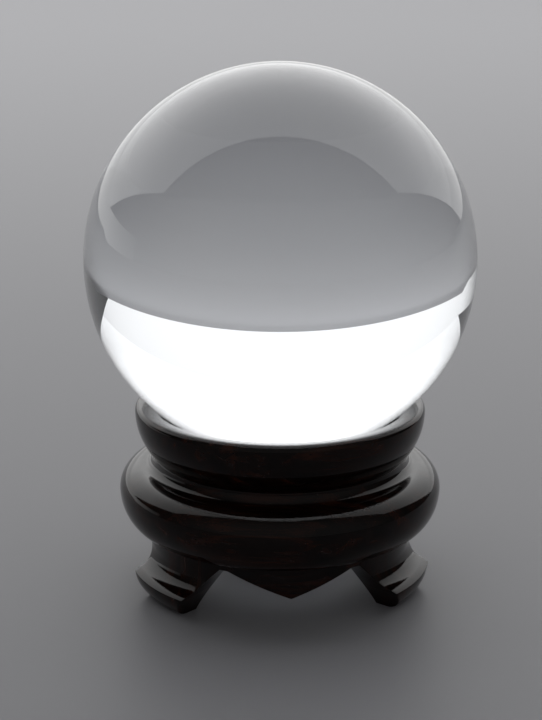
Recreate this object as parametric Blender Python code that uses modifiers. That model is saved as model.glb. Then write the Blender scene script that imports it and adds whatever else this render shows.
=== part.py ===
"""A crystal ball on a turned and carved wooden stand with three flared legs.

The ball lies loose in a turned cup ring. The cup ring's spigot stands in the round drum ring below it. Three
scroll-toed legs and three aprons form a ring that is let into a groove under the drum: each leg hangs on a hidden
dowel, and each apron is held by a tongue at either end, in grooves in its two legs.

Units are metres, +Z is up, the stand's axis is the Z axis and the feet stand on the plane z = 0. The front is -Y.
"""

import math

import bmesh
import bpy
from mathutils import Matrix, Vector

# Clearances
GAP = 0.0003

# Ball
BALL_RADIUS = 0.0400
BALL_CENTRE_Z = 0.0690
BALL_SEGMENTS = 48
BALL_RINGS = 24

# Cup ring
RIM_TOP_Z = 0.0380
RIM_INNER_Z = 0.0374
RIM_RADIUS = 0.0303
RIM_CROWN_WIDTH = 0.0012
RIM_CROWN_HEIGHT = 0.0020
CUP_SIDE_ROUND = 0.0070
NECK_RADIUS = 0.0264
NECK_Z = 0.0285
SEAT_LAND_INNER_RADIUS = 0.0238
BOWL_CLEARANCE = 0.0012
SPIGOT_RADIUS = 0.0177
BORE_RADIUS = 0.0140

# Drum ring
DRUM_RADIUS = 0.0338
DRUM_WIDEST_Z = 0.0209
DRUM_SHOULDER_ROUND = 0.0048
DRUM_FLARE_RADIUS = 0.0284
DRUM_BOTTOM_Z = 0.0128
DRUM_LEDGE_Z = 0.0190

# Ring of legs and aprons, let into the drum's groove
SKIRT_OUTER_RADIUS = 0.0275
SKIRT_INNER_RADIUS = 0.0210
SKIRT_TOP_Z = 0.0162
ARCH_TOP_Z = 0.0112

# Legs
LEG_TOP_HALF_ANGLE = math.radians(28.65)
LEG_FOOT_HALF_ANGLE = math.radians(12.5)
LEG_TAPER_POWER = 1.5
TOE_RADIUS = 0.0318
TOE_LIP_Z = 0.0046
TOE_LIP_HEIGHT = 0.0007
LEG_FLARE_RADIUS = 0.0038
FOOT_FLAT_OUTER_RADIUS = 0.0280
FOOT_FLAT_INNER_RADIUS = 0.0252
LEG_INNER_CURVE_TOP_Z = 0.0125

# Aprons
APRON_HALF_ANGLE = math.radians(30.65)
APRON_INNER_RADIUS = 0.0222
APRON_DROP_Z = 0.0061
APRON_DROP_SPAN = 0.88
APRON_EDGE_CHAMFER = 0.0005

# Joints of the ring
JOINT_ANGLE_FROM_LEG = math.radians(29.0)
TONGUE_RADIUS = 0.0242
TONGUE_Z = 0.0142
TONGUE_SIZE = Vector((0.0020, 0.0033, 0.0022))
DOWEL_CIRCLE_RADIUS = 0.0241
DOWEL_RADIUS = 0.0015
DOWEL_BOTTOM_Z = 0.0116
DOWEL_TOP_Z = 0.0204
DOWEL_CHAMFER = 0.0004

# Directions of the legs and aprons, counter-clockwise from +X seen from above
LEG_DIRECTIONS = {"front_left": -150, "front_right": -30, "rear": 90}
APRON_DIRECTIONS = {"front": -90, "rear_left": 150, "rear_right": 30}

# Facets
TURNED_STEPS = 72
ARC_STEPS = 5
LEG_ARC_STEPS = 8
APRON_ARC_STEPS = 24
DOWEL_SEGMENTS = 16
SMOOTH_ANGLE = math.radians(32)


def clear_scene():
    """Remove every object that the open file holds."""
    for old in list(bpy.data.objects):
        bpy.data.objects.remove(old)


def new_collection(name):
    """Add a collection to the scene."""
    collection = bpy.data.collections.new(name)
    bpy.context.scene.collection.children.link(collection)
    return collection


def new_material(name, colour, roughness, transmission=0.0):
    """A Principled material with one colour."""
    material = bpy.data.materials.new(name)
    material.use_nodes = True
    shader = material.node_tree.nodes["Principled BSDF"]
    shader.inputs["Base Color"].default_value = (*colour, 1.0)
    shader.inputs["Roughness"].default_value = roughness
    shader.inputs["Metallic"].default_value = 0.0
    shader.inputs["Transmission Weight"].default_value = transmission
    return material


def new_object(name, bm, collection, material=None):
    """Turn a bmesh into a named object, shaded smooth up to its hard edges."""
    mesh = bpy.data.meshes.new(name)
    bm.to_mesh(mesh)
    bm.free()
    mesh.shade_smooth()
    mesh.set_sharp_from_angle(angle=SMOOTH_ANGLE)
    obj = bpy.data.objects.new(name, mesh)
    collection.objects.link(obj)
    if material:
        mesh.materials.append(material)
    return obj


def arc(centre, radius, start, end, steps=ARC_STEPS, radius_z=None):
    """Points (r, z) of a round or elliptical arc, its angles in degrees from the outward direction."""
    if radius_z is None:
        radius_z = radius
    points = []
    for i in range(steps + 1):
        angle = math.radians(start + (end - start) * i / steps)
        points.append((centre[0] + radius * math.cos(angle), centre[1] + radius_z * math.sin(angle)))
    return points


def around(radius, angle, z):
    """The point at a radius, angle and height about the stand's axis."""
    return Vector((radius * math.cos(angle), radius * math.sin(angle), z))


def ball_radius_at(z, clearance):
    """Radius of the ball's own sphere, grown by a clearance, at a height."""
    return math.sqrt((BALL_RADIUS + clearance) ** 2 - (BALL_CENTRE_Z - z) ** 2)


def ball_height_at(radius, clearance):
    """Height of the underside of the ball's own sphere, grown by a clearance, at a radius."""
    return BALL_CENTRE_Z - math.sqrt((BALL_RADIUS + clearance) ** 2 - radius ** 2)


def turned(name, profile, collection, material):
    """A piece turned on the lathe: a closed profile (r, z), outer side first from the top, with a Screw modifier."""
    bm = bmesh.new()
    corners = [bm.verts.new((r, 0.0, z)) for r, z in profile]
    for first, second in zip(corners, corners[1:] + corners[:1]):
        bm.edges.new((first, second))
    piece = new_object(name, bm, collection, material)
    screw = piece.modifiers.new("turn", "SCREW")
    screw.angle = math.tau
    screw.steps = TURNED_STEPS
    screw.render_steps = TURNED_STEPS
    screw.use_merge_vertices = True
    screw.merge_threshold = 0.00001
    screw.use_smooth_shade = True
    return piece


def loft(sections):
    """A closed body through sections, each a closed ring of equally many points."""
    bm = bmesh.new()
    rings = []
    for section in sections:
        corners = [bm.verts.new(point) for point in section]
        ring = [bm.edges.new(pair) for pair in zip(corners, corners[1:] + corners[:1])]
        rings.append(ring)
    for lower, upper in zip(rings, rings[1:]):
        bmesh.ops.bridge_loops(bm, edges=lower + upper)
    bmesh.ops.contextual_create(bm, geom=rings[0])
    bmesh.ops.contextual_create(bm, geom=rings[-1])
    bmesh.ops.recalc_face_normals(bm, faces=bm.faces)
    return bm


def make_cutter(name, bm, collection, matrix):
    """A hidden helper solid for the Boolean modifiers."""
    cutter = new_object(name, bm, collection)
    cutter.matrix_world = matrix
    cutter.hide_render = True
    cutter.display_type = "WIRE"
    return cutter


def combine(piece, operation, cutter):
    """Cut a helper solid from a piece, or join it to the piece."""
    modifier = piece.modifiers.new(cutter.name, "BOOLEAN")
    modifier.operation = operation
    modifier.solver = "EXACT"
    modifier.object = cutter


def box_mesh(size):
    """A box of the given size about its own centre."""
    bm = bmesh.new()
    bmesh.ops.create_cube(bm, size=1.0, matrix=Matrix.Diagonal((*size, 1.0)))
    return bm


def rod_mesh(radius, bottom_z, top_z):
    """An upright round rod between two heights."""
    bm = bmesh.new()
    bmesh.ops.create_cone(
        bm,
        cap_ends=True,
        segments=DOWEL_SEGMENTS,
        radius1=radius,
        radius2=radius,
        depth=top_z - bottom_z,
        matrix=Matrix.Translation((0.0, 0.0, (bottom_z + top_z) / 2)),
    )
    return bm


def placed_at(direction, radius=0.0, z=0.0):
    """Placement at an angle about the stand's axis, turned to face outwards along its own X."""
    return Matrix.Rotation(direction, 4, "Z") @ Matrix.Translation((radius, 0.0, z))


def make_ball(collection, material):
    """The polished ball, with its origin at its centre, on the axis along which it is lifted out."""
    bm = bmesh.new()
    bmesh.ops.create_uvsphere(bm, u_segments=BALL_SEGMENTS, v_segments=BALL_RINGS, radius=BALL_RADIUS)
    ball = new_object("crystal_ball", bm, collection, material)
    ball.location = (0.0, 0.0, BALL_CENTRE_Z)
    return ball


def make_cup_ring(collection, material):
    """The turned cup: dished rim, round side drawn in to the neck, spigot, and the hollow that the ball lies in."""
    crown_centre = (RIM_RADIUS - RIM_CROWN_WIDTH, RIM_TOP_Z - RIM_CROWN_HEIGHT)
    side_centre = (RIM_RADIUS - CUP_SIDE_ROUND, RIM_TOP_Z - RIM_CROWN_HEIGHT)
    # The cove is the arc that runs smoothly out of the cup's round side and ends upright at the neck.
    drop = side_centre[1] - NECK_Z
    tangent = 2 * math.atan((RIM_RADIUS - NECK_RADIUS) / drop)
    cove_radius = drop / math.sin(tangent) - CUP_SIDE_ROUND
    tangent_degrees = math.degrees(tangent)
    cove_centre = (NECK_RADIUS + cove_radius, NECK_Z)

    outside = arc(crown_centre, RIM_CROWN_WIDTH, 90, 0, radius_z=RIM_CROWN_HEIGHT)
    outside += arc(side_centre, CUP_SIDE_ROUND, 0, -tangent_degrees, 7)[1:]
    outside += arc(cove_centre, cove_radius, 180 - tangent_degrees, 180, 3)[1:]

    spigot_end_z = DRUM_LEDGE_Z + GAP
    spigot = [
        (SPIGOT_RADIUS, NECK_Z),
        (SPIGOT_RADIUS, spigot_end_z),
        (BORE_RADIUS, spigot_end_z),
    ]

    bowl_clearance = GAP + BOWL_CLEARANCE
    bowl_radii = [BORE_RADIUS + (SEAT_LAND_INNER_RADIUS - BORE_RADIUS) * i / 3 for i in range(4)]
    bowl = [(r, ball_height_at(r, bowl_clearance)) for r in bowl_radii]
    rim_inner_radius = ball_radius_at(RIM_INNER_Z, GAP)
    land_radii = [SEAT_LAND_INNER_RADIUS + (rim_inner_radius - SEAT_LAND_INNER_RADIUS) * i / 2 for i in range(3)]
    land = [(r, ball_height_at(r, GAP)) for r in land_radii]
    return turned("cup_ring", outside + spigot + bowl + land, collection, material)


def make_drum_ring(collection, material):
    """The drum: hollow flare under the neck, round shoulder, a socket for the spigot, and a groove for the legs."""
    top_z = NECK_Z - GAP
    shoulder_z = DRUM_WIDEST_Z + DRUM_SHOULDER_ROUND
    groove_outer = SKIRT_OUTER_RADIUS + GAP
    groove_inner = SKIRT_INNER_RADIUS - GAP
    groove_top_z = SKIRT_TOP_Z + GAP
    outside = arc(
        (DRUM_FLARE_RADIUS, top_z), DRUM_FLARE_RADIUS - NECK_RADIUS, 180, 270, radius_z=top_z - shoulder_z
    )
    outside += arc((DRUM_RADIUS - DRUM_SHOULDER_ROUND, DRUM_WIDEST_Z), DRUM_SHOULDER_ROUND, 90, 0, 7)
    outside += arc(
        (groove_outer, DRUM_WIDEST_Z),
        DRUM_RADIUS - groove_outer,
        0,
        -90,
        7,
        radius_z=DRUM_WIDEST_Z - DRUM_BOTTOM_Z,
    )[1:]
    inside = [
        (groove_outer, groove_top_z),
        (groove_inner, groove_top_z),
        (groove_inner, DRUM_BOTTOM_Z),
        (BORE_RADIUS, DRUM_BOTTOM_Z),
        (BORE_RADIUS, DRUM_LEDGE_Z),
        (SPIGOT_RADIUS + GAP, DRUM_LEDGE_Z),
        (SPIGOT_RADIUS + GAP, top_z),
    ]
    return turned("drum_ring", outside + inside, collection, material)


def leg_outside():
    """The leg's outer line (r, z) from the floor up: rounded underside, lip of the toe, hollow flare, upright top."""
    underside = arc(
        (FOOT_FLAT_OUTER_RADIUS, TOE_LIP_Z),
        TOE_RADIUS - FOOT_FLAT_OUTER_RADIUS,
        -90,
        0,
        radius_z=TOE_LIP_Z,
    )
    flare_centre = (SKIRT_OUTER_RADIUS + LEG_FLARE_RADIUS, TOE_LIP_Z + TOE_LIP_HEIGHT + LEG_FLARE_RADIUS)
    flare = arc(flare_centre, LEG_FLARE_RADIUS, 260, 180, 6)
    upright = [(SKIRT_OUTER_RADIUS, ARCH_TOP_Z), (SKIRT_OUTER_RADIUS, SKIRT_TOP_Z)]
    return underside + flare + upright


def leg_inner_radius(z):
    """The leg's inner side leans outwards towards the foot in an even curve."""
    lean = max(0.0, 1.0 - z / LEG_INNER_CURVE_TOP_Z)
    return SKIRT_INNER_RADIUS + (FOOT_FLAT_INNER_RADIUS - SKIRT_INNER_RADIUS) * lean ** 2


def leg_half_angle(z):
    """Half of the leg's width about the axis: narrow at the foot, widening up to the top of the arches."""
    rise = min(z / ARCH_TOP_Z, 1.0)
    return LEG_FOOT_HALF_ANGLE + (LEG_TOP_HALF_ANGLE - LEG_FOOT_HALF_ANGLE) * rise ** LEG_TAPER_POWER


def leg_section(outer_radius, z):
    """One level section of the leg: the outer arc and back along the inner one."""
    half = leg_half_angle(z)
    angles = [half * (2 * i / LEG_ARC_STEPS - 1) for i in range(LEG_ARC_STEPS + 1)]
    outer = [around(outer_radius, angle, z) for angle in angles]
    inner = [around(leg_inner_radius(z), angle, z) for angle in reversed(angles)]
    return outer + inner


def make_leg(place, direction, collection, material):
    """One carved leg, lofted from level sections from its foot to its top."""
    sections = [leg_section(r, z) for r, z in leg_outside()]
    leg = new_object("leg_" + place, loft(sections), collection, material)
    leg.rotation_euler.z = direction
    return leg


def apron_lower_edge(angle):
    """Height of the apron's lower edge: a pointed drop in the middle, rising to the tops of the two arches."""
    share = min(abs(angle) / (APRON_HALF_ANGLE * APRON_DROP_SPAN), 1.0)
    return APRON_DROP_Z + (ARCH_TOP_Z - APRON_DROP_Z) * share


def apron_section(angle):
    """One upright section of the apron, its lower front edge eased."""
    low = apron_lower_edge(angle)
    corners = [
        (SKIRT_OUTER_RADIUS, SKIRT_TOP_Z),
        (SKIRT_OUTER_RADIUS, low + APRON_EDGE_CHAMFER),
        (SKIRT_OUTER_RADIUS - APRON_EDGE_CHAMFER, low),
        (APRON_INNER_RADIUS, low),
        (APRON_INNER_RADIUS, SKIRT_TOP_Z),
    ]
    return [around(r, angle, z) for r, z in corners]


def make_apron(place, direction, collection, material):
    """One apron, lofted from upright sections from its left end to its right end."""
    angles = [APRON_HALF_ANGLE * (2 * i / APRON_ARC_STEPS - 1) for i in range(APRON_ARC_STEPS + 1)]
    apron = new_object("apron_" + place, loft([apron_section(a) for a in angles]), collection, material)
    apron.rotation_euler.z = direction
    return apron


def join_apron_to_legs(apron, direction, legs, helpers):
    """Give an apron its two tongues, and the leg at either end the groove that takes one."""
    for leg, leg_direction in legs:
        # The signed turn from the leg to the apron says on which side of the leg the joint lies.
        turn = math.remainder(direction - leg_direction, math.tau)
        if abs(turn) > math.pi / 2:
            continue
        place = placed_at(leg_direction + math.copysign(JOINT_ANGLE_FROM_LEG, turn), TONGUE_RADIUS, TONGUE_Z)
        pair = apron.name + "_in_" + leg.name
        tongue = make_cutter("tongue_of_" + pair, box_mesh(TONGUE_SIZE), helpers, place)
        groove_size = TONGUE_SIZE + Vector((2 * GAP, 2 * GAP, 2 * GAP))
        groove = make_cutter("groove_for_" + pair, box_mesh(groove_size), helpers, place)
        combine(apron, "UNION", tongue)
        combine(leg, "DIFFERENCE", groove)


def make_dowel(place, direction, collection, material, leg, drum, helpers):
    """One round dowel with eased ends, and its hole in the leg's top and the drum's underside."""
    bm = rod_mesh(DOWEL_RADIUS, DOWEL_BOTTOM_Z, DOWEL_TOP_Z)
    ends = [edge for edge in bm.edges if abs(edge.verts[0].co.z - edge.verts[1].co.z) < GAP]
    bmesh.ops.bevel(bm, geom=ends, offset=DOWEL_CHAMFER, segments=1, profile=0.5, affect="EDGES", material=-1)
    dowel = new_object("dowel_" + place, bm, collection, material)
    dowel.matrix_world = placed_at(direction, DOWEL_CIRCLE_RADIUS)
    hole_mesh = rod_mesh(DOWEL_RADIUS + GAP, DOWEL_BOTTOM_Z - GAP, DOWEL_TOP_Z + GAP)
    hole = make_cutter("hole_for_" + dowel.name, hole_mesh, helpers, placed_at(direction, DOWEL_CIRCLE_RADIUS))
    combine(leg, "DIFFERENCE", hole)
    combine(drum, "DIFFERENCE", hole)
    return dowel


def main():
    """Build the ball and its stand."""
    clear_scene()
    parts = new_collection("crystal_ball_on_stand")
    helpers = new_collection("cutters_and_tongues")
    crystal = new_material("clear_crystal", (0.96, 0.97, 0.98), 0.0, transmission=1.0)
    cup_wood = new_material("cup_lacquered_wood", (0.020, 0.009, 0.007), 0.12)
    drum_wood = new_material("drum_lacquered_wood", (0.020, 0.009, 0.007), 0.12)
    leg_wood = new_material("leg_lacquered_wood", (0.026, 0.010, 0.007), 0.15)
    apron_wood = new_material("apron_lacquered_wood", (0.022, 0.009, 0.007), 0.15)
    dowel_wood = new_material("dowel_plain_wood", (0.42, 0.26, 0.13), 0.60)

    ball = make_ball(parts, crystal)
    cup = make_cup_ring(parts, cup_wood)
    drum = make_drum_ring(parts, drum_wood)
    stand_pieces = [cup, drum]
    legs = []
    for place, degrees in LEG_DIRECTIONS.items():
        direction = math.radians(degrees)
        leg = make_leg(place, direction, parts, leg_wood)
        legs.append((leg, direction))
        stand_pieces.append(leg)
        stand_pieces.append(make_dowel(place, direction, parts, dowel_wood, leg, drum, helpers))
    for place, degrees in APRON_DIRECTIONS.items():
        direction = math.radians(degrees)
        apron = make_apron(place, direction, parts, apron_wood)
        join_apron_to_legs(apron, direction, legs, helpers)
        stand_pieces.append(apron)

    # The stand's pieces hang on one empty at the foot of the axis, and the ball on one at its own centre.
    stand = bpy.data.objects.new("stand_axis", None)
    lift = bpy.data.objects.new("ball_lift_axis", None)
    lift.location = ball.location
    for empty in (stand, lift):
        parts.objects.link(empty)
    bpy.context.view_layer.update()
    for piece in stand_pieces:
        piece.parent = stand
    ball.parent = lift
    ball.location = (0.0, 0.0, 0.0)
    bpy.context.view_layer.update()


main()
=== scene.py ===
"""Looks of a crystal ball on a turned and carved wooden stand.

The file is laid out as a Blender add-on and is run as a script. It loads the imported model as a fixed
frame, builds the finished pieces where the frame says, and sets up a plain studio. Units are metres, +Z is
up and -Y is the front.
"""

import math

import bmesh
import bpy
from bpy.props import FloatProperty, FloatVectorProperty, IntProperty, PointerProperty
from mathutils import Matrix, Vector


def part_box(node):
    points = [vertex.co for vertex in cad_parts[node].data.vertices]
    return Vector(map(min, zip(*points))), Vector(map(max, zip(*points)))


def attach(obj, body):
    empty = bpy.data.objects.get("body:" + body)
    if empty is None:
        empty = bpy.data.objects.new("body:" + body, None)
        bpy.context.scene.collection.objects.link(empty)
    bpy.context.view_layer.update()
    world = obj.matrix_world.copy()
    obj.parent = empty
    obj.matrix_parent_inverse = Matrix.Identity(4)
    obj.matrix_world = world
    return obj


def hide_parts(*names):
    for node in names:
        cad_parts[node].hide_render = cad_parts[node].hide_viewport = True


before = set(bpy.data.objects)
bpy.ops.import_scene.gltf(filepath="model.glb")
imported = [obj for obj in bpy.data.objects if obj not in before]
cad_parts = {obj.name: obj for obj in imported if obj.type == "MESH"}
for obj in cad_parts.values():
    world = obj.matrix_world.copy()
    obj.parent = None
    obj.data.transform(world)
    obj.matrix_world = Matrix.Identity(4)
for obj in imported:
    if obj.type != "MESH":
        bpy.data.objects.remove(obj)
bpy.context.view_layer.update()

bl_info = {
    "name": "Crystal ball on a stand",
    "version": (1, 0, 0),
    "blender": (4, 5, 0),
    "location": "View3D > Sidebar > Crystal ball",
    "description": "Builds a polished crystal ball, its lacquered wooden stand and a plain studio",
    "category": "Add Mesh",
}

# Corners of the frame's nodes, from which the pieces take their driving sizes
BALL_LOW, BALL_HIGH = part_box("crystal_ball")
CUP_LOW, CUP_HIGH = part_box("cup_ring")
DRUM_LOW, DRUM_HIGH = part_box("drum_ring")
LEG_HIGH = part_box("leg_rear")[1]
APRON_LOW, APRON_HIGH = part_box("apron_front")

BALL_RADIUS = float(BALL_HIGH[2] - BALL_LOW[2]) / 2
BALL_CENTRE_Z = float(BALL_HIGH[2] + BALL_LOW[2]) / 2

# Directions of the legs and aprons in degrees, counter-clockwise from +X seen from above
LEG_DIRECTIONS = {"front_left": -150, "front_right": -30, "rear": 90}
APRON_DIRECTIONS = {"front": -90, "rear_left": 150, "rear_right": 30}

# Room between neighbouring pieces: as in the frame where it is hidden, and a tight joint where it shows
GAP = 0.0003
SEAM = 0.00005

# Rounding of the edges of the turned and of the carved pieces
TURNED_EDGE = 0.0002
CARVED_EDGE = 0.0003

# Edges sharper than these are eased, and shaded as sharp
EASED_ANGLE = math.radians(38)
SHARP_ANGLE = math.radians(35)

# Points of a turned piece that lie closer than this are one
MERGE_DISTANCE = 0.000002

# A lit cloth is even up to the first distance from its middle, and dims until the second
EVEN_HALF_WIDTH = 0.3
DIMMED_HALF_WIDTH = 3.0

# The room's light rises between these Y parts of a direction
ROOM_DIM_Y = 0.2
ROOM_LIT_Y = -0.8


def linear(hex_colour):
    """Turn an sRGB hex colour into the linear values that Blender takes."""
    values = [int(hex_colour[i:i + 2], 16) / 255 for i in (1, 3, 5)]
    return tuple(v / 12.92 if v <= 0.04045 else ((v + 0.055) / 1.055) ** 2.4 for v in values)


def number(name, description, default):
    """A property that holds a plain number."""
    return FloatProperty(name=name, description=description, default=default)


def length(name, description, default):
    """A property that holds a length in metres."""
    return FloatProperty(name=name, description=description, default=default, unit="LENGTH", precision=5)


def angle(name, description, degrees):
    """A property that holds an angle."""
    return FloatProperty(name=name, description=description, default=math.radians(degrees), subtype="ANGLE")


def colour(name, description, hex_colour):
    """A property that holds a colour."""
    return FloatVectorProperty(
        name=name,
        description=description,
        default=linear(hex_colour),
        subtype="COLOR",
        size=3,
        min=0.0,
        max=1.0,
    )


class BallSettings(bpy.types.PropertyGroup):
    """Sizes and colours of the ball."""

    radius: length("Radius", "Radius of the ball", BALL_RADIUS)
    segments: IntProperty(name="Segments", description="Facets around the ball", default=256, min=32)
    clear: colour("Clear", "Colour of the clear glass", "#FCFDFE")
    cool: colour("Cool streaks", "Colour of the faintly cooler streaks in the glass", "#F4F7FB")


class StandSettings(bpy.types.PropertyGroup):
    """Sizes and colours of the stand."""

    rim_radius: length("Rim radius", "Outer radius of the cup's rim", float(CUP_HIGH[0]))
    rim_top_z: length("Rim height", "Height of the rim's highest place", 0.0390)
    rim_inner_z: length("Rim inner height", "Height of the dished rim where it meets the ball", 0.0386)
    rim_crown_width: length("Rim crown width", "Width of the rim's rounded outer edge", 0.0012)
    rim_crown_height: length("Rim crown height", "Height of the rim's rounded outer edge", 0.0014)
    neck_radius: length("Neck radius", "Radius of the neck between cup and drum", 0.0264)
    land_inner_radius: length("Seat radius", "Inner radius of the land that the ball lies on", 0.0238)
    bowl_clearance: length("Bowl clearance", "How far the hollow keeps off the ball inside the land", 0.0012)
    spigot_radius: length("Spigot radius", "Radius of the cup's spigot in the drum", 0.0177)
    bore_radius: length("Bore radius", "Radius of the bore through cup and drum", 0.0140)

    drum_flare_radius: length("Drum flare", "Radius at which the hollow flare under the neck ends", 0.0284)
    drum_shoulder_round: length("Drum shoulder", "Rounding of the drum's shoulder", 0.0048)
    drum_widest_z: length("Drum widest height", "Height at which the drum is widest", 0.0209)
    ledge_z: length("Ledge height", "Height of the ledge in the drum that the spigot stands on", 0.0190)

    skirt_radius: length("Skirt radius", "Outer radius of the legs and aprons", float(-APRON_LOW[1]))
    skirt_inner_radius: length("Skirt inner radius", "Inner radius of the legs at their tops", 0.0210)
    arch_top_z: length("Arch height", "Height of the arches' tops beside the legs", 0.0112)

    leg_top_half_angle: angle("Leg width", "Half of a leg's width about the axis at its top", 28.95)
    leg_foot_half_angle: angle("Foot width", "Half of a leg's width about the axis at the floor", 12.5)
    leg_taper: number("Leg taper", "Power of the curve of a leg's sides", 1.5)
    toe_radius: length("Toe radius", "How far the toes reach from the axis", float(LEG_HIGH[1]))
    toe_lip_z: length("Toe lip height", "Height of the toes' lips", 0.0046)
    toe_lip_rise: length("Toe lip rise", "How far the flare's lowest place is above the lip", 0.0007)
    flare_radius: length("Flare radius", "Radius of the hollow flare above the toes", 0.0038)
    foot_outer_radius: length("Foot outer radius", "Outer radius of the flat under a foot", 0.0280)
    foot_inner_radius: length("Foot inner radius", "Inner radius of the flat under a foot", 0.0252)
    leg_lean_top_z: length("Leg lean height", "Height below which a leg's inner side leans outwards", 0.0125)

    apron_half_angle: angle("Apron width", "Half of an apron's width about the axis", 30.95)
    apron_inner_radius: length("Apron inner radius", "Inner radius of the aprons", 0.0222)
    apron_drop_span: number("Drop span", "Share of an apron's width that its pointed drop takes", 0.88)

    wood: colour("Wood", "Colour of most of the wood", "#160A07")
    wood_red: colour("Red streaks", "Colour of the wood's redder streaks", "#33170C")
    wood_black: colour("Black streaks", "Colour of the wood's nearly black streaks", "#080403")
    pores: colour("Pores", "Colour of the wood's pores", "#040201")
    dowel_wood: colour("Dowel wood", "Colour of the bare wood of the dowels", "#C9A77C")
    dowel_streaks: colour("Dowel streaks", "Colour of the flecks in the dowels", "#9C7448")


class StageSettings(bpy.types.PropertyGroup):
    """The studio: floor, lit cloths, room and camera."""

    floor_colour: colour("Floor", "Colour of the floor", "#A2A2A6")
    floor_size: length("Floor size", "Length of the floor's sides", 12.0)
    sweep_depth: length("Sweep depth", "Depth of the floor's back strip, which sweeps up", 0.8)
    sweep_height: length("Sweep height", "How high the floor sweeps up in the middle", 0.06)
    sweep_rise: length("Sweep rise", "How much higher the sweep is at the backdrop's right foot", 0.085)
    backdrop_distance: length("Backdrop distance", "How far the backdrop stands behind the ball", 4.0)
    backdrop_foot_right: length("Backdrop foot", "How far right the backdrop reaches at the floor", 4.05)
    wing_depth: length("Wing depth", "How far the backdrop's left wing comes forward", 3.8)
    wing_spread: length("Wing spread", "How much further out the wing's front edge hangs", 0.4)
    wing_light: number("Wing light", "Brightness of the wing's front edge", 0.1)
    backdrop_light: number("Backdrop light", "Brightness of the backdrop", 1.2)
    sheet_height: length("Sheet height", "Height of the lit sheet above the floor", 0.97)
    sheet_front: length("Sheet front", "How far behind the ball the sheet's front edge hangs", -0.10)
    sheet_front_width: length("Sheet width", "Width of the lit sheet at its front edge", 3.0)
    sheet_front_light: number("Sheet front light", "Brightness of the lit sheet near its front edge", 1.2)
    sheet_back_light: number("Sheet back light", "Brightness of the lit sheet towards the backdrop", 1.9)
    sheet_full_y: length("Sheet full light", "How far behind the ball the sheet is at its brightest", 0.9)
    side_share: number("Side share", "Share of the sheet's brightness that is left at its sides", 0.7)
    cast_share: number("Cast share", "Share of the cloths' brightness that lights other things", 0.36)
    fill_light: number("Fill light", "Brightness of the room at the back", 0.05)
    front_fill_light: number("Front fill light", "Brightness of the room in front", 0.22)
    view_turn: angle("View turn", "Turn of the camera and the cloths about the stand's axis", -4.5)
    view_down: angle("View down", "How far the camera looks down", 16.0)
    view_place: FloatVectorProperty(
        name="Camera place",
        description="Camera's place from the ball's centre, before the turn",
        default=(-0.00188, -0.31964, 0.07042),
        subtype="XYZ",
        size=3,
    )
    lens: number("Lens", "Focal length in millimetres, on a 36 mm sensor", 80.0)


def add_node(tree, kind, inputs=None, **settings):
    """Add a node with its settings; an input takes a value, or another node's output as a link."""
    node = tree.nodes.new(kind)
    for name, value in settings.items():
        setattr(node, name, value)
    for key, value in (inputs or {}).items():
        if isinstance(value, bpy.types.NodeSocket):
            tree.links.new(value, node.inputs[key])
        else:
            node.inputs[key].default_value = value
    return node


def new_material(name):
    """An empty node material and its tree."""
    material = bpy.data.materials.new(name)
    material.use_nodes = True
    material.node_tree.nodes.clear()
    return material, material.node_tree


def polished_crystal_glass(ball):
    """Optical crystal glass, moulded, ground round and polished.

    The eye sees it by what it bends and mirrors: the room behind it upside down, a soft veil of the lit
    sheet on its upper side, and a bright thin edge. Streaks from the melt change its clear colour by an
    almost unseen amount.
    """
    material, tree = new_material("polished_crystal_glass")
    place = add_node(tree, "ShaderNodeTexCoord").outputs["Object"]
    # Streaks about 25 mm apart
    streaks = add_node(tree, "ShaderNodeTexNoise", {"Vector": place, "Scale": 1 / 0.025, "Detail": 2.0})
    tint = add_node(
        tree,
        "ShaderNodeMix",
        {0: streaks.outputs["Fac"], 6: (*ball.clear, 1.0), 7: (*ball.cool, 1.0)},
        data_type="RGBA",
    )
    # Polishing leaves patches about 8 mm wide that are a little less sharp
    polish = add_node(tree, "ShaderNodeTexNoise", {"Vector": place, "Scale": 1 / 0.008, "Detail": 3.0})
    haze = add_node(
        tree,
        "ShaderNodeMapRange",
        {"Value": polish.outputs["Fac"], "From Min": 0.45, "From Max": 0.75, "To Max": 0.003},
    )
    shader = add_node(
        tree,
        "ShaderNodeBsdfPrincipled",
        {
            "Base Color": tint.outputs[2],
            "Roughness": haze.outputs["Result"],
            "IOR": 1.517,
            "Transmission Weight": 1.0,
        },
    )
    add_node(tree, "ShaderNodeOutputMaterial", {"Surface": shader.outputs["BSDF"]})
    return material


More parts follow.
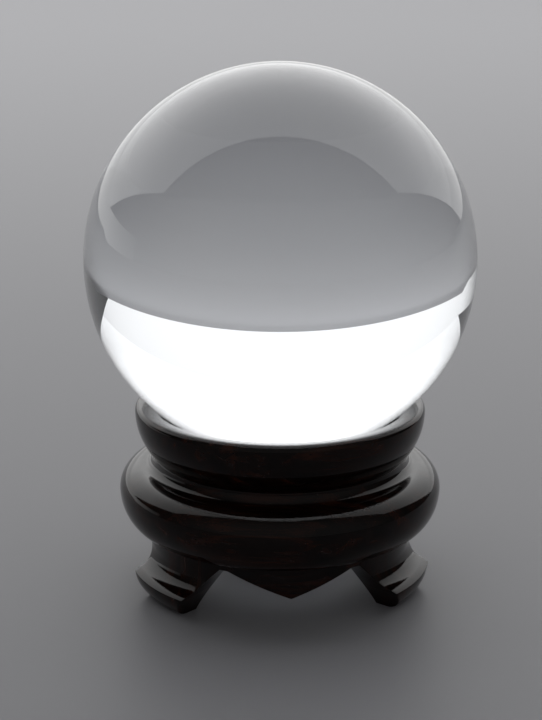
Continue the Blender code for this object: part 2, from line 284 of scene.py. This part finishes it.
def lacquered_rosewood(name, stand, grain_turn, offset):
    """Rosewood, turned or carved, sanded and finished with a clear gloss lacquer.

    The eye sees a nearly black red-brown with redder and blacker streaks along the grain, short dark pores
    that the lacquer almost fills, and over it all a sharp clear gloss that waves a little.
    """
    material, tree = new_material(name)
    place = add_node(tree, "ShaderNodeTexCoord").outputs["Object"]

    def grain(streak_length, streak_width):
        """Coordinates that run along the grain, in units of one streak."""
        return add_node(
            tree,
            "ShaderNodeMapping",
            {
                "Vector": place,
                "Location": offset,
                "Rotation": grain_turn,
                "Scale": (streak_length, streak_width, streak_width),
            },
            vector_type="TEXTURE",
        ).outputs["Vector"]

    # Streaks about 2.5 mm wide and 45 mm long
    streaks = add_node(
        tree,
        "ShaderNodeTexNoise",
        {"Vector": grain(0.045, 0.0025), "Scale": 1.0, "Detail": 4.0, "Roughness": 0.6, "Distortion": 0.4},
    )
    figure = add_node(tree, "ShaderNodeValToRGB", {"Fac": streaks.outputs["Fac"]})
    ramp = figure.color_ramp
    ramp.elements[0].position = 0.36
    ramp.elements[0].color = (*stand.wood_black, 1.0)
    ramp.elements[1].position = 0.70
    ramp.elements[1].color = (*stand.wood_red, 1.0)
    ramp.elements.new(0.50).color = (*stand.wood, 1.0)
    # Pores are about 0.1 mm wide; they are drawn 0.3 mm wide and 4 mm long, so that they show
    fine = add_node(
        tree,
        "ShaderNodeTexNoise",
        {"Vector": grain(0.004, 0.0003), "Scale": 1.0, "Detail": 2.0, "Roughness": 0.5},
    )
    pores = add_node(
        tree,
        "ShaderNodeMapRange",
        {"Value": fine.outputs["Fac"], "From Min": 0.60, "From Max": 0.70, "To Max": 0.85},
    )
    wood = add_node(
        tree,
        "ShaderNodeMix",
        {0: pores.outputs["Result"], 6: figure.outputs["Color"], 7: (*stand.pores, 1.0)},
        data_type="RGBA",
    )
    gloss = add_node(
        tree,
        "ShaderNodeMapRange",
        {"Value": streaks.outputs["Fac"], "From Min": 0.3, "From Max": 0.7, "To Min": 0.46, "To Max": 0.34},
    )
    # The lacquer sinks a little over the pores and waves about every 5 mm
    sunk = add_node(
        tree,
        "ShaderNodeBump",
        {"Height": pores.outputs["Result"], "Strength": 0.06, "Distance": 0.0001},
        invert=True,
    )
    waves = add_node(tree, "ShaderNodeTexNoise", {"Vector": place, "Scale": 1 / 0.005, "Detail": 1.0})
    skin = add_node(
        tree,
        "ShaderNodeBump",
        {
            "Height": waves.outputs["Fac"],
            "Strength": 0.15,
            "Distance": 0.0002,
            "Normal": sunk.outputs["Normal"],
        },
    )
    shader = add_node(
        tree,
        "ShaderNodeBsdfPrincipled",
        {
            "Base Color": wood.outputs[2],
            "Roughness": gloss.outputs["Result"],
            "Specular IOR Level": 0.0,
            "Normal": skin.outputs["Normal"],
            "Coat Weight": 1.0,
            "Coat Roughness": 0.05,
            "Coat IOR": 1.3,
            "Coat Normal": skin.outputs["Normal"],
        },
    )
    add_node(tree, "ShaderNodeOutputMaterial", {"Surface": shader.outputs["BSDF"]})
    return material


def bare_beech(stand):
    """Beech dowel rod, planed and left bare.

    The eye sees a pale, dull, straight-grained wood with short darker flecks along the rod.
    """
    material, tree = new_material("bare_beech")
    place = add_node(tree, "ShaderNodeTexCoord").outputs["Object"]
    # Flecks 0.4 mm wide and 3 mm long, along the upright rod
    along = add_node(
        tree,
        "ShaderNodeMapping",
        {"Vector": place, "Scale": (0.0004, 0.0004, 0.003)},
        vector_type="TEXTURE",
    )
    flecks = add_node(
        tree, "ShaderNodeTexNoise", {"Vector": along.outputs["Vector"], "Scale": 1.0, "Detail": 3.0}
    )
    tone = add_node(
        tree,
        "ShaderNodeMix",
        {0: flecks.outputs["Fac"], 6: (*stand.dowel_wood, 1.0), 7: (*stand.dowel_streaks, 1.0)},
        data_type="RGBA",
    )
    raised = add_node(
        tree, "ShaderNodeBump", {"Height": flecks.outputs["Fac"], "Strength": 0.2, "Distance": 0.0001}
    )
    shader = add_node(
        tree,
        "ShaderNodeBsdfPrincipled",
        {"Base Color": tone.outputs[2], "Roughness": 0.65, "Normal": raised.outputs["Normal"]},
    )
    add_node(tree, "ShaderNodeOutputMaterial", {"Surface": shader.outputs["BSDF"]})
    return material


def pale_floor_board(stage):
    """A large painted board with an eggshell finish: plain pale grey, with a soft sheen at a low angle."""
    material, tree = new_material("pale_floor_board")
    shader = add_node(
        tree, "ShaderNodeBsdfPrincipled", {"Base Color": (*stage.floor_colour, 1.0), "Roughness": 0.5}
    )
    add_node(tree, "ShaderNodeOutputMaterial", {"Surface": shader.outputs["BSDF"]})
    return material


def lit_cloth(name, front_light, back_light, full_y, side_share, cast_share):
    """White cloth lit from behind, brighter towards the back and dimmer towards the sides.

    It looks white to the camera, in gloss and through the ball, and lights the rest at a plain level.
    """
    material, tree = new_material(name)
    place = add_node(tree, "ShaderNodeTexCoord").outputs["Object"]
    axes = add_node(tree, "ShaderNodeSeparateXYZ", {"Vector": place})
    light = add_node(
        tree,
        "ShaderNodeMapRange",
        {"Value": axes.outputs["Y"], "From Max": full_y, "To Min": front_light, "To Max": back_light},
    )
    sideways = add_node(tree, "ShaderNodeMath", {0: axes.outputs["X"]}, operation="ABSOLUTE")
    dimming = add_node(
        tree,
        "ShaderNodeMapRange",
        {
            "Value": sideways.outputs["Value"],
            "From Min": EVEN_HALF_WIDTH,
            "From Max": DIMMED_HALF_WIDTH,
            "To Min": 1.0,
            "To Max": side_share,
        },
        interpolation_type="SMOOTHSTEP",
    )
    evenness = add_node(
        tree,
        "ShaderNodeMath",
        {0: light.outputs["Result"], 1: dimming.outputs["Result"]},
        operation="MULTIPLY",
    )
    path = add_node(tree, "ShaderNodeLightPath")
    direct = add_node(
        tree,
        "ShaderNodeMath",
        {0: path.outputs["Is Camera Ray"], 1: path.outputs["Is Glossy Ray"]},
        operation="MAXIMUM",
    )
    seen = add_node(
        tree,
        "ShaderNodeMath",
        {0: direct.outputs["Value"], 1: path.outputs["Is Transmission Ray"]},
        operation="MAXIMUM",
    )
    share = add_node(tree, "ShaderNodeMapRange", {"Value": seen.outputs["Value"], "To Min": cast_share})
    strength = add_node(
        tree,
        "ShaderNodeMath",
        {0: evenness.outputs["Value"], 1: share.outputs["Result"]},
        operation="MULTIPLY",
    )
    glow = add_node(tree, "ShaderNodeEmission", {"Strength": strength.outputs["Value"]})
    add_node(tree, "ShaderNodeOutputMaterial", {"Surface": glow.outputs["Emission"]})
    return material


def soft_room(stage):
    """The room around the studio, dim at the back and softly lit in front to fill the shaded sides."""
    world = bpy.data.worlds.new("soft_room")
    world.use_nodes = True
    tree = world.node_tree
    tree.nodes.clear()
    place = add_node(tree, "ShaderNodeTexCoord")
    axes = add_node(tree, "ShaderNodeSeparateXYZ", {"Vector": place.outputs["Generated"]})
    strength = add_node(
        tree,
        "ShaderNodeMapRange",
        {
            "Value": axes.outputs["Y"],
            "From Min": ROOM_DIM_Y,
            "From Max": ROOM_LIT_Y,
            "To Min": stage.fill_light,
            "To Max": stage.front_fill_light,
        },
        interpolation_type="SMOOTHSTEP",
    )
    fill = add_node(
        tree,
        "ShaderNodeBackground",
        {"Color": (1.0, 1.0, 1.0, 1.0), "Strength": strength.outputs["Result"]},
    )
    add_node(tree, "ShaderNodeOutputWorld", {"Surface": fill.outputs["Background"]})
    return world


def new_object(name, bm, material):
    """Turn a bmesh into an object at the origin, shaded smooth up to its sharp edges."""
    mesh = bpy.data.meshes.new(name)
    bm.to_mesh(mesh)
    bm.free()
    mesh.shade_smooth()
    mesh.set_sharp_from_angle(angle=SHARP_ANGLE)
    mesh.materials.append(material)
    piece = bpy.data.objects.new(name, mesh)
    bpy.context.scene.collection.objects.link(piece)
    return piece


def stand_in_for(node, bm, material, body):
    """Make a finished piece that takes a CAD node's place and moves with its body."""
    piece = new_object(node + "_finished", bm, material)
    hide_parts(node)
    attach(piece, body)
    return piece


def line_to(bm, last, r, z):
    """Carry a profile on in a straight line to a radius and height."""
    point = bmesh.ops.extrude_vert_indiv(bm, verts=[last])["verts"][0]
    point.co = Vector((r, 0.0, z))
    return point


def arc_about(bm, last, r, z, degrees, steps):
    """Carry a profile on in an arc about a centre; a positive angle runs from the top outwards and down."""
    arc = bmesh.ops.spin(
        bm, geom=[last], cent=(r, 0.0, z), axis=(0.0, 1.0, 0.0), angle=math.radians(degrees), steps=steps
    )
    return arc["geom_last"][0]


def oval_about(bm, last, r, z, degrees, steps, stretch):
    """Carry a profile on in an arc that starts level with its centre, stretched upright by a factor."""
    older = set(bm.verts)
    end = arc_about(bm, last, r, z, degrees, steps)
    newer = [vert for vert in bm.verts if vert not in older]
    bmesh.ops.scale(bm, vec=(1.0, 1.0, stretch), space=Matrix.Translation((0.0, 0.0, -z)), verts=newer)
    return end


def turn_on_lathe(bm, steps=256):
    """Turn a closed profile once round the axis."""
    bmesh.ops.remove_doubles(bm, verts=bm.verts, dist=MERGE_DISTANCE)
    profile = bm.verts[:] + bm.edges[:]
    bmesh.ops.spin(
        bm,
        geom=profile,
        cent=(0.0, 0.0, 0.0),
        axis=(0.0, 0.0, 1.0),
        angle=math.tau,
        steps=steps,
        use_merge=True,
    )
    bmesh.ops.remove_doubles(bm, verts=bm.verts, dist=MERGE_DISTANCE)
    bmesh.ops.recalc_face_normals(bm, faces=bm.faces)


def loft(sections):
    """A closed body through sections, each a closed ring of equally many points."""
    bm = bmesh.new()
    rings = []
    for section in sections:
        corners = [bm.verts.new(point) for point in section]
        rings.append([bm.edges.new(pair) for pair in zip(corners, corners[1:] + corners[:1])])
    for lower, upper in zip(rings, rings[1:]):
        bmesh.ops.bridge_loops(bm, edges=lower + upper)
    bmesh.ops.contextual_create(bm, geom=rings[0])
    bmesh.ops.contextual_create(bm, geom=rings[-1])
    bmesh.ops.recalc_face_normals(bm, faces=bm.faces)
    return bm


def ease_edges(bm, size, highest=math.inf, segments=3):
    """Round every sharp edge up to a height, as sanding does."""
    sharp = [
        edge
        for edge in bm.edges
        if edge.is_manifold
        and edge.calc_face_angle() > EASED_ANGLE
        and max(vert.co.z for vert in edge.verts) <= highest
    ]
    bmesh.ops.bevel(
        bm,
        geom=sharp,
        offset=size,
        segments=segments,
        profile=0.5,
        affect="EDGES",
        material=-1,
        clamp_overlap=True,
    )


def turn_about_axis(bm, turn):
    """Turn a finished body about the stand's axis into its place."""
    bmesh.ops.rotate(bm, cent=(0.0, 0.0, 0.0), matrix=Matrix.Rotation(turn, 3, "Z"), verts=bm.verts)


def draw_out(bm, edges, vec):
    """Extrude edges by a vector and return the new points."""
    drawn = bmesh.ops.extrude_edge_only(bm, edges=edges)["geom"]
    points = [part for part in drawn if isinstance(part, bmesh.types.BMVert)]
    bmesh.ops.translate(bm, vec=vec, verts=points)
    return points


def around(radius, turn, z):
    """The point at a radius, angle and height about the stand's axis."""
    return Vector((radius * math.cos(turn), radius * math.sin(turn), z))


class CRYSTALBALL_OT_ball(bpy.types.Operator):
    """Make the polished ball that lies in the cup."""

    bl_idname = "crystal_ball.ball"
    bl_label = "Crystal ball"

    def execute(self, context):
        ball = context.scene.ball_settings
        bm = bmesh.new()
        bmesh.ops.create_uvsphere(
            bm,
            u_segments=ball.segments,
            v_segments=ball.segments // 2,
            radius=ball.radius,
            matrix=Matrix.Translation((0.0, 0.0, BALL_CENTRE_Z)),
        )
        stand_in_for("crystal_ball", bm, polished_crystal_glass(ball), "ball")
        return {"FINISHED"}


class CRYSTALBALL_OT_cup(bpy.types.Operator):
    """Turn the cup: dished rim, round side drawn in to the neck, spigot, and the hollow for the ball."""

    bl_idname = "crystal_ball.cup"
    bl_label = "Cup ring"

    def execute(self, context):
        stand = context.scene.stand_settings
        side_top_z = stand.rim_top_z - stand.rim_crown_height
        spigot_end_z = float(CUP_LOW[2])
        neck_z = float(DRUM_HIGH[2]) + SEAM
        # The cup's side is one arc, upright at the rim, that runs in to the neck.
        drop = side_top_z - neck_z
        draw_in = stand.rim_radius - stand.neck_radius
        side_round = (drop ** 2 + draw_in ** 2) / (2 * draw_in)
        side_turn = math.asin(drop / side_round)

        land_sphere = BALL_RADIUS + GAP
        bowl_sphere = land_sphere + stand.bowl_clearance
        rim_inner_radius = math.sqrt(land_sphere ** 2 - (BALL_CENTRE_Z - stand.rim_inner_z) ** 2)
        land_radius = stand.land_inner_radius
        bowl_high_z = BALL_CENTRE_Z - math.sqrt(bowl_sphere ** 2 - land_radius ** 2)
        land_turn = math.asin(rim_inner_radius / land_sphere) - math.asin(land_radius / land_sphere)
        bowl_turn = math.asin(land_radius / bowl_sphere) - math.asin(stand.bore_radius / bowl_sphere)

        bm = bmesh.new()
        point = bm.verts.new((stand.rim_radius, 0.0, side_top_z))
        crown_radius = stand.rim_radius - stand.rim_crown_width
        crown_stretch = stand.rim_crown_height / stand.rim_crown_width
        point = oval_about(bm, point, crown_radius, side_top_z, -90, steps=12, stretch=crown_stretch)
        point = line_to(bm, point, rim_inner_radius, stand.rim_inner_z)
        point = arc_about(bm, point, 0.0, BALL_CENTRE_Z, math.degrees(land_turn), steps=4)
        point = line_to(bm, point, land_radius, bowl_high_z)
        point = arc_about(bm, point, 0.0, BALL_CENTRE_Z, math.degrees(bowl_turn), steps=8)
        point = line_to(bm, point, stand.bore_radius, spigot_end_z)
        point = line_to(bm, point, stand.spigot_radius, spigot_end_z)
        point = line_to(bm, point, stand.spigot_radius, neck_z)
        point = line_to(bm, point, stand.neck_radius, neck_z)
        side_centre = stand.rim_radius - side_round
        arc_about(bm, point, side_centre, side_top_z, -math.degrees(side_turn), steps=32)
        turn_on_lathe(bm)
        ease_edges(bm, TURNED_EDGE)
        wood = lacquered_rosewood(
            "lacquered_rosewood_cup", stand, grain_turn=(0.0, 0.0, 0.35), offset=(0.013, 0.004, 0.0)
        )
        stand_in_for("cup_ring", bm, wood, "stand")
        return {"FINISHED"}


class CRYSTALBALL_OT_drum(bpy.types.Operator):
    """Turn the drum: hollow flare, round shoulder, stepped bore for the spigot, and groove for the legs."""

    bl_idname = "crystal_ball.drum"
    bl_label = "Drum ring"

    def execute(self, context):
        stand = context.scene.stand_settings
        top_z = float(DRUM_HIGH[2])
        bottom_z = float(DRUM_LOW[2])
        drum_radius = float(DRUM_HIGH[0])
        widest_z = stand.drum_widest_z
        shoulder_z = widest_z + stand.drum_shoulder_round
        shoulder_radius = drum_radius - stand.drum_shoulder_round
        groove_outer = stand.skirt_radius + SEAM
        groove_inner = stand.skirt_inner_radius - GAP
        groove_top_z = float(LEG_HIGH[2]) + GAP
        socket_radius = stand.spigot_radius + GAP

        bm = bmesh.new()
        first = bm.verts.new((stand.neck_radius, 0.0, top_z))
        flare_stretch = (top_z - shoulder_z) / (stand.drum_flare_radius - stand.neck_radius)
        point = oval_about(bm, first, stand.drum_flare_radius, top_z, -90, steps=20, stretch=flare_stretch)
        point = line_to(bm, point, shoulder_radius, shoulder_z)
        point = arc_about(bm, point, shoulder_radius, widest_z, 90, steps=28)
        lower_stretch = (widest_z - bottom_z) / (drum_radius - groove_outer)
        point = oval_about(bm, point, groove_outer, widest_z, 90, steps=28, stretch=lower_stretch)
        point = line_to(bm, point, groove_outer, groove_top_z)
        point = line_to(bm, point, groove_inner, groove_top_z)
        point = line_to(bm, point, groove_inner, bottom_z)
        point = line_to(bm, point, stand.bore_radius, bottom_z)
        point = line_to(bm, point, stand.bore_radius, stand.ledge_z)
        point = line_to(bm, point, socket_radius, stand.ledge_z)
        point = line_to(bm, point, socket_radius, top_z)
        bm.edges.new((point, first))
        turn_on_lathe(bm)
        ease_edges(bm, TURNED_EDGE)
        wood = lacquered_rosewood(
            "lacquered_rosewood_drum", stand, grain_turn=(0.0, 0.0, -0.2), offset=(0.0, 0.009, 0.003)
        )
        stand_in_for("drum_ring", bm, wood, "stand")
        return {"FINISHED"}


class CRYSTALBALL_OT_legs(bpy.types.Operator):
    """Carve the three legs: rounded undersides, lips of the toes, hollow flares and upright tops."""

    bl_idname = "crystal_ball.legs"
    bl_label = "Legs"

    def outer_line(self, stand):
        """The leg's outer line as points (r, z), from the floor up to its top."""
        profile = bmesh.new()
        reach = stand.toe_radius - stand.foot_outer_radius
        point = profile.verts.new((stand.foot_outer_radius, 0.0, stand.toe_lip_z - reach))
        arc_about(profile, point, stand.foot_outer_radius, stand.toe_lip_z, -90, steps=14)
        # The round underside is stretched until it reaches the floor.
        bmesh.ops.scale(
            profile,
            vec=(1.0, 1.0, stand.toe_lip_z / reach),
            space=Matrix.Translation((0.0, 0.0, -stand.toe_lip_z)),
            verts=profile.verts,
        )
        profile.verts.ensure_lookup_table()
        flare_r = stand.skirt_radius + stand.flare_radius
        flare_z = stand.toe_lip_z + stand.toe_lip_rise + stand.flare_radius
        flare_degrees = 80
        start = math.radians(180 + flare_degrees)
        point = line_to(
            profile,
            profile.verts[-1],
            flare_r + stand.flare_radius * math.cos(start),
            flare_z + stand.flare_radius * math.sin(start),
        )
        point = arc_about(profile, point, flare_r, flare_z, flare_degrees, steps=16)
        for z in (stand.arch_top_z, float(LEG_HIGH[2])):
            point = line_to(profile, point, stand.skirt_radius, z)
        line = [(vert.co.x, vert.co.z) for vert in profile.verts]
        profile.free()
        return line

    def section(self, stand, r, z):
        """One level section of the leg: its outer arc and back along the inner one."""
        rise = min(z / stand.arch_top_z, 1.0)
        widening = stand.leg_top_half_angle - stand.leg_foot_half_angle
        half = stand.leg_foot_half_angle + widening * rise ** stand.leg_taper
        lean = max(0.0, 1.0 - z / stand.leg_lean_top_z)
        inner = stand.skirt_inner_radius + (stand.foot_inner_radius - stand.skirt_inner_radius) * lean ** 2
        steps = 28
        turns = [half * (2 * i / steps - 1) for i in range(steps + 1)]
        outer_arc = [around(r, turn, z) for turn in turns]
        return outer_arc + [around(inner, turn, z) for turn in reversed(turns)]

    def execute(self, context):
        stand = context.scene.stand_settings
        # The grain of the legs runs upright.
        wood = lacquered_rosewood(
            "lacquered_rosewood_legs", stand, grain_turn=(0.0, math.pi / 2, 0.0), offset=(0.002, 0.0, 0.0)
        )
        sections = [self.section(stand, r, z) for r, z in self.outer_line(stand)]
        for place, degrees in LEG_DIRECTIONS.items():
            bm = loft(sections)
            ease_edges(bm, CARVED_EDGE, highest=stand.arch_top_z)
            turn_about_axis(bm, math.radians(degrees))
            stand_in_for("leg_" + place, bm, wood, "stand")
        return {"FINISHED"}


class CRYSTALBALL_OT_aprons(bpy.types.Operator):
    """Carve the three aprons between the legs, each with a pointed drop in the middle of its lower edge."""

    bl_idname = "crystal_ball.aprons"
    bl_label = "Aprons"

    def section(self, stand, turn):
        """One upright section of the apron."""
        drop_z = float(APRON_LOW[2])
        top_z = float(APRON_HIGH[2])
        share = min(abs(turn) / (stand.apron_half_angle * stand.apron_drop_span), 1.0)
        low_z = drop_z + (stand.arch_top_z - drop_z) * share
        steps = 8
        heights = [top_z + (low_z - top_z) * i / steps for i in range(steps + 1)]
        outer = [around(stand.skirt_radius, turn, z) for z in heights]
        inner = [around(stand.apron_inner_radius, turn, z) for z in reversed(heights)]
        return outer + inner

    def execute(self, context):
        stand = context.scene.stand_settings
        steps = 64
        turns = [stand.apron_half_angle * (2 * i / steps - 1) for i in range(steps + 1)]
        for place, degrees in APRON_DIRECTIONS.items():
            direction = math.radians(degrees)
            bm = loft([self.section(stand, turn) for turn in turns])
            ease_edges(bm, CARVED_EDGE, highest=stand.arch_top_z)
            turn_about_axis(bm, direction)
            # The grain of an apron runs along it.
            wood = lacquered_rosewood(
                "lacquered_rosewood_apron_" + place,
                stand,
                grain_turn=(0.0, 0.0, direction + math.pi / 2),
                offset=(0.0, 0.0, 0.001),
            )
            stand_in_for("apron_" + place, bm, wood, "stand")
        return {"FINISHED"}


class CRYSTALBALL_OT_dowels(bpy.types.Operator):
    """Give the hidden dowels, whose shape in the frame is right, their wood."""

    bl_idname = "crystal_ball.dowels"
    bl_label = "Dowels"

    def execute(self, context):
        wood = bare_beech(context.scene.stand_settings)
        for place in LEG_DIRECTIONS:
            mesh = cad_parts["dowel_" + place].data
            mesh.materials.clear()
            mesh.materials.append(wood)
        return {"FINISHED"}


class CRYSTALBALL_OT_stage(bpy.types.Operator):
    """Set up the pale floor, the lit backdrop, the lit sheet overhead, the soft room and the camera."""

    bl_idname = "crystal_ball.stage"
    bl_label = "Stage"

    def execute(self, context):
        scene = context.scene
        stage = scene.stage_settings
        turn = Matrix.Rotation(stage.view_turn, 4, "Z")
        # The lit sheet hangs level from the backdrop to above the ball, and widens to the backdrop's width.
        sheet_depth = stage.backdrop_distance - stage.sheet_front
        backdrop_width = stage.sheet_front_width + 2 * sheet_depth

        bm = bmesh.new()
        bmesh.ops.create_grid(bm, x_segments=24, y_segments=1, size=stage.floor_size / 2)
        back = [edge for edge in bm.edges if all(vert.co.y > 0 for vert in edge.verts)]
        for vert in draw_out(bm, back, (0.0, stage.sweep_depth, stage.sweep_height)):
            vert.co.z += stage.sweep_rise * (vert.co.x / stage.backdrop_foot_right) ** 2
        floor_middle_y = stage.backdrop_distance - GAP - stage.sweep_depth - stage.floor_size / 2
        bmesh.ops.translate(bm, vec=(0.0, floor_middle_y, 0.0), verts=bm.verts)
        bmesh.ops.transform(bm, matrix=turn, verts=bm.verts)
        floor = new_object("studio_floor", bm, pale_floor_board(stage))

        bm = bmesh.new()
        bmesh.ops.create_grid(bm, x_segments=1, y_segments=1, size=0.5)
        for vert in bm.verts:
            if vert.co.x > 0 and vert.co.y < 0:
                vert.co.x = stage.backdrop_foot_right / backdrop_width
        # The backdrop still lies flat, so its wing is drawn out upwards to come forward later.
        left = [edge for edge in bm.edges if all(vert.co.x < 0 for vert in edge.verts)]
        draw_out(bm, left, (-stage.wing_spread / backdrop_width, 0.0, stage.wing_depth))
        stood_up = (
            turn
            @ Matrix.Translation((0.0, stage.backdrop_distance, stage.sheet_height / 2))
            @ Matrix.Rotation(math.pi / 2, 4, "X")
            @ Matrix.Diagonal((backdrop_width, stage.sheet_height, 1.0, 1.0))
        )
        bmesh.ops.transform(bm, matrix=stood_up, verts=bm.verts)
        cloth = lit_cloth(
            "lit_backdrop",
            front_light=stage.wing_light,
            back_light=stage.backdrop_light,
            full_y=stage.backdrop_distance,
            side_share=1.0,
            cast_share=stage.cast_share,
        )
        backdrop = new_object("studio_backdrop", bm, cloth)

        bm = bmesh.new()
        bmesh.ops.create_grid(bm, x_segments=1, y_segments=1, size=0.5)
        bmesh.ops.scale(bm, vec=(stage.sheet_front_width, sheet_depth, 1.0), verts=bm.verts)
        back = [vert for vert in bm.verts if vert.co.y > 0]
        bmesh.ops.scale(bm, vec=(backdrop_width / stage.sheet_front_width, 1.0, 1.0), verts=back)
        hung = turn @ Matrix.Translation((0.0, stage.sheet_front + sheet_depth / 2, stage.sheet_height))
        bmesh.ops.transform(bm, matrix=hung, verts=bm.verts)
        cloth = lit_cloth(
            "lit_sheet",
            front_light=stage.sheet_front_light,
            back_light=stage.sheet_back_light,
            full_y=stage.sheet_full_y,
            side_share=stage.side_share,
            cast_share=stage.cast_share,
        )
        sheet = new_object("studio_lit_sheet", bm, cloth)

        scene.world = soft_room(stage)

        camera_data = bpy.data.cameras.new("camera")
        camera_data.lens = stage.lens
        camera_data.clip_start = 0.01
        camera = bpy.data.objects.new("camera", camera_data)
        place = Vector((0.0, 0.0, BALL_CENTRE_Z)) + Vector(stage.view_place)
        camera.matrix_world = (
            turn @ Matrix.Translation(place) @ Matrix.Rotation(math.pi / 2 - stage.view_down, 4, "X")
        )
        scene.collection.objects.link(camera)
        scene.camera = camera
        scene.view_settings.view_transform = "Standard"
        return {"FINISHED"}


class CRYSTALBALL_PT_sidebar(bpy.types.Panel):
    """Lists the pieces and their settings in the sidebar."""

    bl_label = "Crystal ball"
    bl_idname = "CRYSTALBALL_PT_sidebar"
    bl_space_type = "VIEW_3D"
    bl_region_type = "UI"
    bl_category = "Crystal ball"

    def draw(self, context):
        layout = self.layout
        scene = context.scene
        for operator in OPERATORS:
            layout.operator(operator.bl_idname)
        for settings in (scene.ball_settings, scene.stand_settings, scene.stage_settings):
            box = layout.box()
            for name in settings.__annotations__:
                box.prop(settings, name)


OPERATORS = (
    CRYSTALBALL_OT_ball,
    CRYSTALBALL_OT_cup,
    CRYSTALBALL_OT_drum,
    CRYSTALBALL_OT_legs,
    CRYSTALBALL_OT_aprons,
    CRYSTALBALL_OT_dowels,
    CRYSTALBALL_OT_stage,
)
CLASSES = (BallSettings, StandSettings, StageSettings, *OPERATORS, CRYSTALBALL_PT_sidebar)


def register():
    """Register the classes and hang the settings on the scene."""
    for cls in CLASSES:
        bpy.utils.register_class(cls)
    bpy.types.Scene.ball_settings = PointerProperty(type=BallSettings)
    bpy.types.Scene.stand_settings = PointerProperty(type=StandSettings)
    bpy.types.Scene.stage_settings = PointerProperty(type=StageSettings)


def unregister():
    """Take the settings and the classes away again."""
    del bpy.types.Scene.stage_settings
    del bpy.types.Scene.stand_settings
    del bpy.types.Scene.ball_settings
    for cls in reversed(CLASSES):
        bpy.utils.unregister_class(cls)


def main():
    """Build every piece and the stage."""
    register()
    bpy.ops.crystal_ball.ball()
    bpy.ops.crystal_ball.cup()
    bpy.ops.crystal_ball.drum()
    bpy.ops.crystal_ball.legs()
    bpy.ops.crystal_ball.aprons()
    bpy.ops.crystal_ball.dowels()
    bpy.ops.crystal_ball.stage()


if __name__ == "__main__":
    main()
